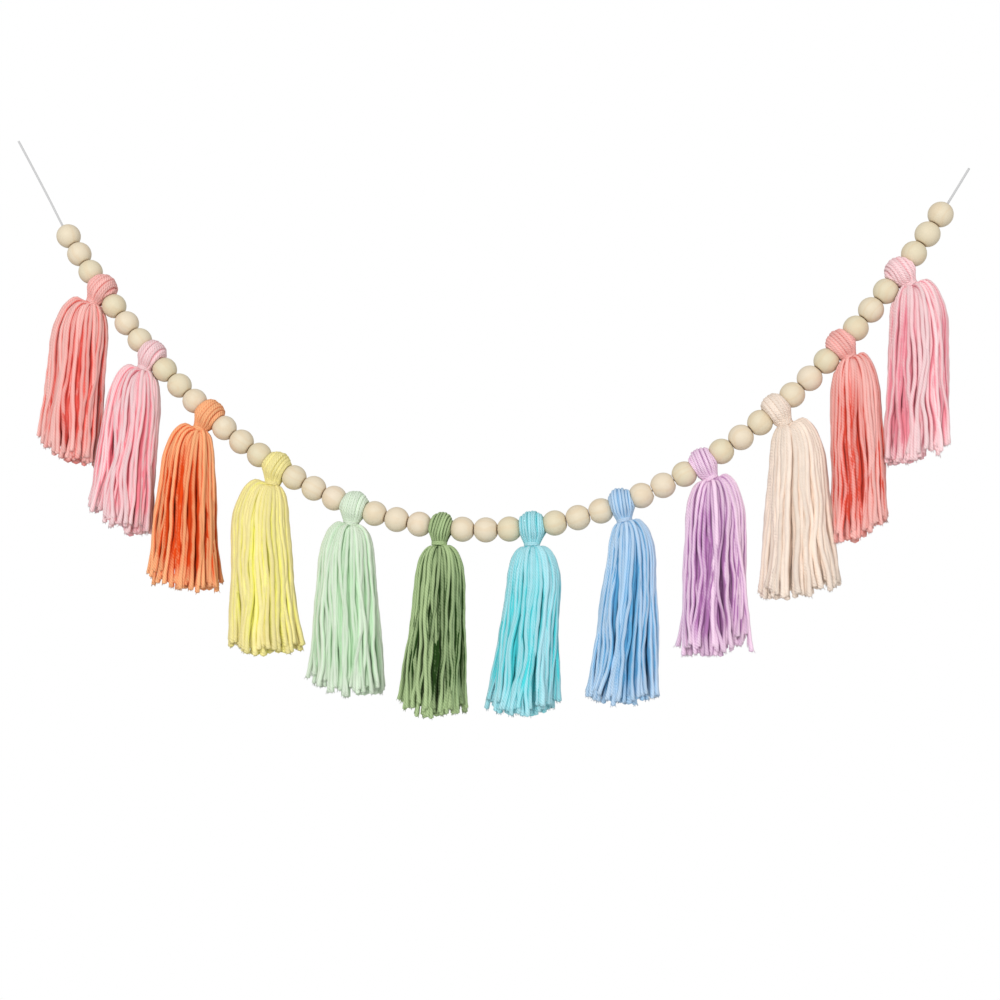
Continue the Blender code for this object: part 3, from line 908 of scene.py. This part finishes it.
class GARLAND_OT_add_beads(bpy.types.Operator):
    """Add the turned wooden beads"""

    bl_idname = "garland.add_beads"
    bl_label = "Beads"

    def execute(self, context):
        settings = context.scene.garland_beads
        material = wood_material(settings)
        dice = np.random.default_rng(BEAD_SEED)
        beads, _ = threaded_items()
        for number, item in enumerate(beads, start=1):
            points, quads, grain, dark = bead_skin(item, settings, dice)
            mesh = bpy.data.meshes.new(f"wood_bead_{number:02d}")
            mesh.from_pydata((points * MM).tolist(), [], quads.tolist())
            add_attribute(mesh, "bead_place", grain)
            add_attribute(mesh, "tone", np.full(len(points), dice.uniform(0.0, 1.0)))
            add_attribute(mesh, "depth", dark)
            mesh.shade_smooth()
            show(mesh, material, "wood", f"bead_{number:02d}")
        return {"FINISHED"}


# The heads


def ring_paths(ball, count, inset, rows, span, dice):
    """Rings on the head's ball, in a frame along the loops' own axis, and their shares of the way along it.

    A point of a ring lies at the angle span u from the top, and the ring's radius is the ball's times the
    square root of 1 - rounding share^2. The shares are sines of even steps, to spread the rings evenly."""
    u = np.linspace(-1.0, 1.0, rows)[None, :]
    steps = np.linspace(-1.0, 1.0, count)[:, None] + dice.uniform(-0.03, 0.03, (count, 1))
    share = np.sin(steps * BALL_SPAN) / math.sin(BALL_SPAN)
    along = share * (ball.half_room - inset)
    radius = (HEAD_RADIUS - inset) * np.sqrt(np.maximum(1 - HEAD_ROUNDING * share**2, 0.1))
    radius = radius + dice.uniform(-0.3, 0.2, (count, 1))
    angle = span * u
    slant = dice.uniform(-0.9, 0.9, (count, 1)) * np.sin(angle) * np.cos(angle / 2)
    ring = points_of(along + slant, radius * np.sin(angle), radius * np.cos(angle))
    return ring, share, u


def loop_paths(ball, count, neck_turn, neck_drop, inset, dice):
    """Yarn looped over the string: on the ball at first, and near both ends down the neck's axis."""
    ring, share, u = ring_paths(ball, count, inset, 50, math.radians(LOOP_SPAN), dice)
    lean = neck_turn - ball.slope
    down = neck_drop - LOOP_TOP + LOOP_WAY * (np.abs(u) - 0.8) / 0.2
    aside = share * (NECK_RADIUS - inset)
    deep = np.sign(u) * np.sqrt(np.maximum(1 - 0.85 * share**2, 0.05)) * (NECK_RADIUS - inset)
    neck = placed(points_of(aside, deep, -down), lean, 0.0)
    gathered = eased(np.abs(u), 0.79, 0.19)[..., None]
    return ring * (1 - gathered) + neck * gathered, gathered[..., 0]


def head_skin(tassel, head, balls, yarn, dice):
    """Loops that run down into the neck, and closed rings under them that fill the ball.

    Where the grooves are faint, the loops are thicker and press into each other, and their sides get less
    painted shade."""
    grooves = LOOKS[tassel.yarn].grooves
    thick = yarn.head_radius * (1 + LOOP_PRESS * (1 - grooves))
    slope = head.slope + math.radians(tassel.tilt)
    ball = head._replace(slope=slope, half_room=head.half_room + tassel.bulge)
    count = 1 + round(2 * BALL_SPAN * ball.half_room / LOOP_PITCH)
    loops, gathered = loop_paths(ball, count, math.radians(tassel.lean), tassel.neck, thick, dice)
    rings, _, _ = ring_paths(ball, count - 1, yarn.head_radius + RING_INSET, 30, math.pi, dice)
    loop_radius = thick * (1 - 0.15 * gathered) * dice.uniform(0.9, 1.1, (len(loops), 1))
    ring_radius = np.full(rings.shape[:2], 1.2 * yarn.head_radius)
    axis = np.array([math.cos(slope), 0.0, math.sin(slope)])
    # Painted shade on the loops' sides, stronger where the grooves are clear
    side_shade = LOOP_SIDE_SHADE * (0.2 + 0.8 * grooves)
    skins = []
    # Painted shade: more on the loops where they gather into the neck, and more still on the rings under
    # them
    kinds = ((loops, loop_radius, 8, LOOP_SHADE + 0.1 * gathered), (rings, ring_radius, 6, RING_SHADE))
    for paths, radius, sides, shade in kinds:
        paths = clear_of_beads(placed(paths, slope, ball.centre), radius, balls, room=0.1)
        starts = dice.uniform(0.0, 50.0, (len(paths), 1))
        tone = dice.uniform(0.0, 1.0, len(paths))
        outwards = unit(paths - head.centre)
        depth = shade + 0 * radius
        skins.append(strand_skin(paths, axis, radius, sides, tone, depth, outwards, starts, side_shade))
    return joined(skins)


class GARLAND_OT_add_heads(bpy.types.Operator):
    """Add the yarn looped over the string at the head of each tassel"""

    bl_idname = "garland.add_heads"
    bl_label = "Tassel heads"

    def execute(self, context):
        add_tassel_pieces("head", HEAD_SEED, head_skin)
        return {"FINISHED"}


# The ties


def tie_skin(tassel, head, balls, yarn, dice):
    """A strand wound round the neck: (reach cos a, reach sin a, rise a), with its ends tucked in."""
    neck, turn = neck_of(head, tassel)
    u = np.linspace(0.0, 1.0, 64)[None, :]
    angle = dice.uniform(0.0, TURN) + TIE_TURNS * TURN * u
    tuck = TIE_TUCK * eased(np.abs(2 * u - 1), 0.86, 0.14)
    reach = NECK_RADIUS + 0.1 - tuck
    height = (u - 0.5) * TIE_HEIGHT + TIE_WOBBLE * np.sin(angle)
    local = points_of(reach * np.cos(angle), reach * np.sin(angle), height)
    radius = np.full(u.shape, yarn.tie_radius)
    paths = clear_of_beads(placed(local, turn, neck), radius, balls)
    axis = np.array([-math.sin(turn), 0.0, math.cos(turn)])
    # A little painted shade on the tie, and more on its sides
    shade = np.full(u.shape, TIE_SHADE)
    return strand_skin(paths, axis, radius, 8, np.array([0.5]), shade, unit(paths - neck))


class GARLAND_OT_add_ties(bpy.types.Operator):
    """Add the yarn tied round the neck of each tassel"""

    bl_idname = "garland.add_ties"
    bl_label = "Neck ties"

    def execute(self, context):
        add_tassel_pieces("tie", TIE_SEED, tie_skin)
        return {"FINISHED"}


# The skirts


def dome_at(run):
    """Reach, drop and rise at this run along a strand."""
    table = np.array(DOME)
    return np.moveaxis(through(table[:, 0], table[:, 1:], run), -1, 0)


def skirt_section(tassel, angle, reach, drop, rise, size, inset):
    """Points on the skirt: (reach (middle + half cos a), reach deep sin a, dome rise less drop).

    With them come the direction round the skirt and the point in its middle that strands face away from."""
    share = np.maximum((drop - SKIRT_TOP_DROP) / (SKIRT_FOOT_DROP - SKIRT_TOP_DROP), 0.0)
    left = tassel.left_top + (tassel.left_foot - tassel.left_top) * share
    right = tassel.right_top + (tassel.right_foot - tassel.right_top) * share
    middle = (right - left) / 2
    half = (right + left) / 2
    deep = np.maximum(half * SKIRT_DEPTH_SHARE, SKIRT_LEAST_DEPTH) - inset
    half = half - inset
    outward = np.cos(angle) * (1 if tassel.right_top > tassel.left_top else -1)
    x = reach * (middle + half * size * np.cos(angle))
    y = reach * deep * size * np.sin(angle)
    z = -drop + tassel.dome_rise * rise * size * np.maximum(outward, 0.0)
    around = unit(points_of(-half * np.sin(angle), deep * np.cos(angle), 0.0))
    heart = points_of(reach * middle, 0.0, z - DOME_HEART * (1 - smooth_step(drop / DOME_FOOT)))
    return points_of(x, y, z), around, heart


def foot_drop(tassel, angle):
    """How far below the neck a strand is cut: from one side's length to the other's, with the sag between
    them and the rise behind."""
    side = np.cos(angle)
    level = (tassel.left_length + tassel.right_length) / 2
    tilt = (tassel.right_length - tassel.left_length) / 2 * side
    return level + tilt + FOOT_SAG * (1 - side * side) - BACK_RISE * np.maximum(np.sin(angle), 0.0)


def wave_along(run, waves, dice):
    """A sine along each strand, with a wavelength from this span and a start of its own."""
    length = dice.uniform(*waves, (len(run), 1))
    return np.sin(TURN * run / length + dice.uniform(0.0, TURN, (len(run), 1)))


def shared_sway(angle, run, lengths, phases):
    """How neighbours sway together: three sine waves that wind slowly round the skirt on their way down."""
    turns = np.array([2.0, 3.0, 5.0])[:, None, None]
    waves = np.sin(turns * angle + TURN * run / lengths[:, None, None] + phases[:, None, None])
    return waves.sum(axis=0) / 1.7


def deep_patch(look, angle, run):
    """Share by which strands lie deeper and get more painted shade: in front in the yarn's own direction,
    and once behind.
    """
    front = np.cos(angle - math.radians(look.deep_at))
    behind = np.cos(angle - math.radians(look.deep_at) - 2.5)
    near = eased(np.maximum(front, behind), 0.45, 0.45)
    return look.deep * near * eased(run, *PATCH)


def strand_runs(tassel, layer, yarn, dice):
    """Each strand's angle round the skirt, and the run from the neck and the share of it at each ring."""
    places = np.arange(layer.count) + (0.5 if layer.depth else 0.0)
    angle = TURN * (places + dice.uniform(-0.2, 0.2, layer.count)) / layer.count
    length = foot_drop(tassel, angle) + dice.uniform(-yarn.raggedness, yarn.raggedness, layer.count)
    length = length - 2.0 * (1 - layer.size)
    total = (DOME_RUN + length - SKIRT_TOP_DROP)[:, None]
    share = np.linspace(0.0, 1.0, layer.rows)[None, :] ** 1.15
    return angle[:, None], total * share, share


def side_stray(wander, yarn, dice, run, hang, late):
    """How far strands stray to either side by themselves, and the slow wave in it.

    The stray is a slow and a quick sine, and a drift that grows with the run."""
    wave = yarn.waviness * dice.uniform(0.3, 1.2, (len(run), 1)) * hang
    slow = wave_along(run, SLOW_WAVES, dice)
    quick = 0.4 * wave_along(run, QUICK_WAVES, dice)
    drift = yarn.crossing * dice.normal(0.0, 1.0, (len(run), 1)) * (0.5 * hang + 0.6 * late)
    return wander * (wave * (slow + quick) + drift), slow


def sunk_strands(look, yarn, dice, angle, run, slow):
    """How far strands lie behind the skirt's surface, and how much of that is a deep patch.

    Of each four neighbours on the dome, each has its own depth. Further down some lie behind others."""
    count = len(run)
    order = dice.permuted(np.tile(NEIGHBOUR_DEPTHS, (count // 4 + 1, 1)), axis=1).ravel()[:count, None]
    sink = order * (1 - 0.7 * eased(run, *DOME_RETURN)) * eased(run, *DOME_DEPTH)
    recess = yarn.recess * dice.uniform(0.0, 1.0, (count, 1)) ** 2 * eased(run, *RECESS)
    patch = deep_patch(look, angle, run) * dice.uniform(0.3, 1.0, (count, 1))
    return look.gaps * (sink + recess * (0.7 + 0.3 * slow)) + PATCH_SINK * patch, patch


def hanging_paths(tassel, layer, yarn, dice, lengths, phases):
    """Strands from the neck over the dome and down to their cut ends, in the neck's frame.

    A strand follows the skirt's surface at its own angle, pulled towards the nearest lock. It strays to
    either side, bobs in and out, and sinks least at the skirt's sides, and a few ends flare outwards."""
    look = LOOKS[tassel.yarn]
    angle, run, share = strand_runs(tassel, layer, yarn, dice)
    late = share**2
    hang = eased(run, *HANG)
    pull = yarn.clumping * np.sin(LOCKS * angle + phases[0]) / LOCKS
    spin = angle + pull * (0.25 + 0.75 * hang)
    reach, drop, rise = dome_at(run)
    drop = drop + layer.sunk * eased(run, *SAG) * (1 - late)
    facing = 0.25 + 0.75 * np.abs(np.sin(angle))
    size = layer.size * (1 - dice.uniform(0.0, 0.08, (layer.count, 1)) * (0.3 + 0.7 * hang) * facing)
    points, around, heart = skirt_section(tassel, spin, reach, drop, rise, size, yarn.skirt_radius)
    outwards = unit(points - heart)
    wander = look.tangle * layer.wander
    stray, slow = side_stray(wander, yarn, dice, run, hang, late)
    stray = stray + wander * yarn.sway * hang * shared_sway(angle, run, lengths, phases)
    bob = BOB * hang * wave_along(run, BOB_WAVES, dice)
    flare = yarn.flare * dice.uniform(0.0, 1.0, (layer.count, 1)) ** 5 * late**2
    points = points + around * stray[..., None] + outwards * (bob + flare)[..., None]
    sink, patch = sunk_strands(look, yarn, dice, angle, run, slow)
    sink = sink * facing
    points = points - outwards * sink[..., None]
    # The last value sets painted shade: the sink together with the patch's own painted shade
    return points, around, outwards, run, sink + yarn.patch_shade * patch


def neck_line(points, run, size):
    """Strands' first stretch gathered in the neck: each starts at its own place in the bound bundle."""
    angle = TURN * np.arange(len(run))[:, None] / len(run)
    ring = (NECK_RADIUS - BUNDLE_INSET) * size
    bundle = points_of(ring * np.cos(angle), ring * np.sin(angle), points[..., 2])
    gathered = (1 - eased(run, *BUNDLE_LEFT))[..., None]
    return points * (1 - gathered) + bundle * gathered


def skirt_skin(tassel, head, balls, yarn, dice):
    """All layers of one skirt's strands. A strand is thinner by the neck, uneven, and wider at its end."""
    neck, _ = neck_of(head, tassel)
    press = 1 + STRAND_PRESS * (1 - LOOKS[tassel.yarn].gaps)
    lengths = dice.uniform(*SWAY_WAVES, 3)
    phases = dice.uniform(0.0, TURN, 3)
    skins = []
    for layer in SKIRT_LAYERS:
        points, around, outwards, run, sink = hanging_paths(tassel, layer, yarn, dice, lengths, phases)
        points = neck_line(points, run, layer.size) + neck
        left = run[:, -1:] - run
        thin = NECK_THIN * (1 - smooth_step(run / THIN_RUN))
        uneven = UNEVEN * np.sin(TURN * run / dice.uniform(*UNEVEN_WAVES, (layer.count, 1)))
        wide = END_WIDE * smooth_step(1 - left / WIDE_RUN)
        radius = yarn.skirt_radius * layer.thickness * dice.uniform(0.92, 1.06, (layer.count, 1))
        radius = radius * (1 - thin + uneven + wide) * press
        points = clear_of_beads(points, radius, balls)
        # Painted shade from the layer and the sink, and on the sides that face neighbours; both fade towards
        # the cut end
        near_foot = smooth_step(1 - left / FADE_RUN)
        shade = np.minimum(layer.depth + SUNK_SHADE * sink, 1.0) * (1 - 0.55 * near_foot)
        side = SIDE_SHADE * (1 - 0.5 * near_foot)
        starts = dice.uniform(0.0, 50.0, (layer.count, 1))
        tone = dice.uniform(0.0, 1.0, layer.count)
        skins.append(strand_skin(points, around, radius, layer.sides, tone, shade, outwards, starts, side))
        if layer.depth < 0.5:
            skins.append(frayed_ends(points, radius, tone, dice))
    return joined(skins)


def frayed_ends(points, radius, tone, dice):
    """Short fibres that fan out of each cut end: from inside the end on along the strand and outwards."""
    each = FIBRES_PER_END
    ahead = np.repeat(unit(points[:, -1] - points[:, -2]), each, axis=0)
    thick = np.repeat(radius[:, -1:], each, axis=0)
    spread = unit(np.cross(ahead, unit(dice.normal(0.0, 1.0, ahead.shape))))
    start = np.repeat(points[:, -1], each, axis=0) + spread * thick * dice.uniform(0.2, 0.85, thick.shape)
    length = dice.uniform(*FIBRE_LENGTHS, (len(start), 1, 1))
    t = np.linspace(0.0, 1.0, 2)[None, :, None]
    flare = dice.uniform(0.0, 0.6, (len(start), 1, 1))
    fan = length * (t * ahead[:, None] + flare * t**2 * spread[:, None])
    paths = start[:, None] + fan - 0.4 * ahead[:, None]
    thin = FIBRE_RADIUS * (1 - 0.6 * t[..., 0]) * np.ones((len(start), 1))
    shade = np.full_like(thin, 0.1)
    return strand_skin(paths, spread[:, None], thin, 3, np.repeat(tone, each), shade)


class GARLAND_OT_add_skirts(bpy.types.Operator):
    """Add the hanging strands of each tassel"""

    bl_idname = "garland.add_skirts"
    bl_label = "Tassel skirts"

    def execute(self, context):
        add_tassel_pieces("skirt", SKIRT_SEED, skirt_skin)
        return {"FINISHED"}


# The stage


# Area lights: the stage's setting that holds their power, their size, their place from the garland's
# middle across, and their place from the origin in depth and up, in metres
Light = namedtuple("Light", "setting size across depth up")
LIGHTS = (Light("key", 1.0, -0.35, -2.1, 0.25), Light("fill", 1.4, 1.6, -1.3, -0.1))
FLOOR_RADIUS = 2.6


def soft_light(name, power, size, place, target):
    """A square area light that points at the target."""
    data = bpy.data.lights.new(name, "AREA")
    data.energy = power
    data.size = size
    turned = (target - Vector(place)).to_track_quat("-Z", "Y").to_matrix()
    object_of(data).matrix_world = Matrix.Translation(place) @ turned.to_4x4()


def surround_light(strength):
    """A white surround that lights the garland softly and shows plain white behind it."""
    world = bpy.data.worlds.new("surround")
    world.use_nodes = True
    tree = world.node_tree
    tree.nodes.clear()
    rays = tree.nodes.new("ShaderNodeLightPath")
    both = tree.nodes.new("ShaderNodeMixShader")
    out = tree.nodes.new("ShaderNodeOutputWorld")
    tree.links.new(rays.outputs["Is Camera Ray"], both.inputs[0])
    for socket, level in ((1, strength), (2, 1.0)):
        white = tree.nodes.new("ShaderNodeBackground")
        white.inputs["Color"].default_value = (1.0, 1.0, 1.0, 1.0)
        white.inputs["Strength"].default_value = level
        tree.links.new(white.outputs[0], both.inputs[socket])
    tree.links.new(both.outputs[0], out.inputs["Surface"])
    bpy.context.scene.world = world


def floor_mesh(radius, height, sides=96):
    """A disc: (radius cos a, radius sin a, height) in metres about the garland's middle."""
    angle = angles(sides)
    middle = (CAD_BOX[0] + CAD_BOX[1]) / 2
    across = middle.x + radius * np.cos(angle)
    away = middle.y + radius * np.sin(angle)
    points = points_of(across, away, height)
    mesh = bpy.data.meshes.new("floor")
    mesh.from_pydata(points.tolist(), [], [list(range(sides))])
    return mesh


class GARLAND_OT_set_stage(bpy.types.Operator):
    """Set the floor, the surround and the lights"""

    bl_idname = "garland.set_stage"
    bl_label = "Stage"

    def execute(self, context):
        stage = context.scene.garland_stage
        surround_light(stage.surround)
        middle = (CAD_BOX[0] + CAD_BOX[1]) / 2
        for light in LIGHTS:
            place = (middle.x + light.across, light.depth, light.up)
            soft_light(f"{light.setting} light", getattr(stage, light.setting), light.size, place, middle)
        mesh = floor_mesh(FLOOR_RADIUS, -stage.floor_drop)
        recipe = Recipe("pale floor")
        recipe.surface({"Base Color": (0.86, 0.86, 0.85), "Roughness": 0.9})
        mesh.materials.append(recipe.material)
        floor = object_of(mesh)
        context.scene.view_settings.view_transform = "Standard"
        return {"FINISHED"}


class GARLAND_PT_panel(bpy.types.Panel):
    """Lists the garland's pieces and their settings"""

    bl_idname = "GARLAND_PT_panel"
    bl_label = "Tassel garland"
    bl_space_type = "VIEW_3D"
    bl_region_type = "UI"
    bl_category = "Garland"

    def draw(self, context):
        layout = self.layout
        for key, label in SETTINGS.items():
            box = layout.box()
            box.label(text=label)
            settings = getattr(context.scene, key)
            for name in settings.__annotations__:
                box.prop(settings, name)
        for operator in OPERATORS:
            layout.operator(operator.bl_idname)


SETTINGS = {
    "garland_yarn": "Yarn",
    "garland_colours": "Yarn colours",
    "garland_shades": "Yarn shades",
    "garland_beads": "Beads",
    "garland_string": "String",
    "garland_stage": "Stage",
}
GROUPS = (GarlandYarn, GarlandColours, GarlandShades, GarlandBeads, GarlandString, GarlandStage)
OPERATORS = (
    GARLAND_OT_set_camera,
    GARLAND_OT_add_string,
    GARLAND_OT_add_beads,
    GARLAND_OT_add_heads,
    GARLAND_OT_add_ties,
    GARLAND_OT_add_skirts,
    GARLAND_OT_set_stage,
)


def register():
    for group in (*GROUPS, *OPERATORS, GARLAND_PT_panel):
        bpy.utils.register_class(group)
    for key, group in zip(SETTINGS, GROUPS):
        setattr(bpy.types.Scene, key, PointerProperty(type=group))


def unregister():
    for key in SETTINGS:
        delattr(bpy.types.Scene, key)
    for group in (GARLAND_PT_panel, *OPERATORS[::-1], *GROUPS[::-1]):
        bpy.utils.unregister_class(group)


def main():
    register()
    bpy.ops.garland.set_camera()
    bpy.ops.garland.add_string()
    bpy.ops.garland.add_beads()
    bpy.ops.garland.add_heads()
    bpy.ops.garland.add_ties()
    bpy.ops.garland.add_skirts()
    bpy.ops.garland.set_stage()


if __name__ == "__main__":
    main()
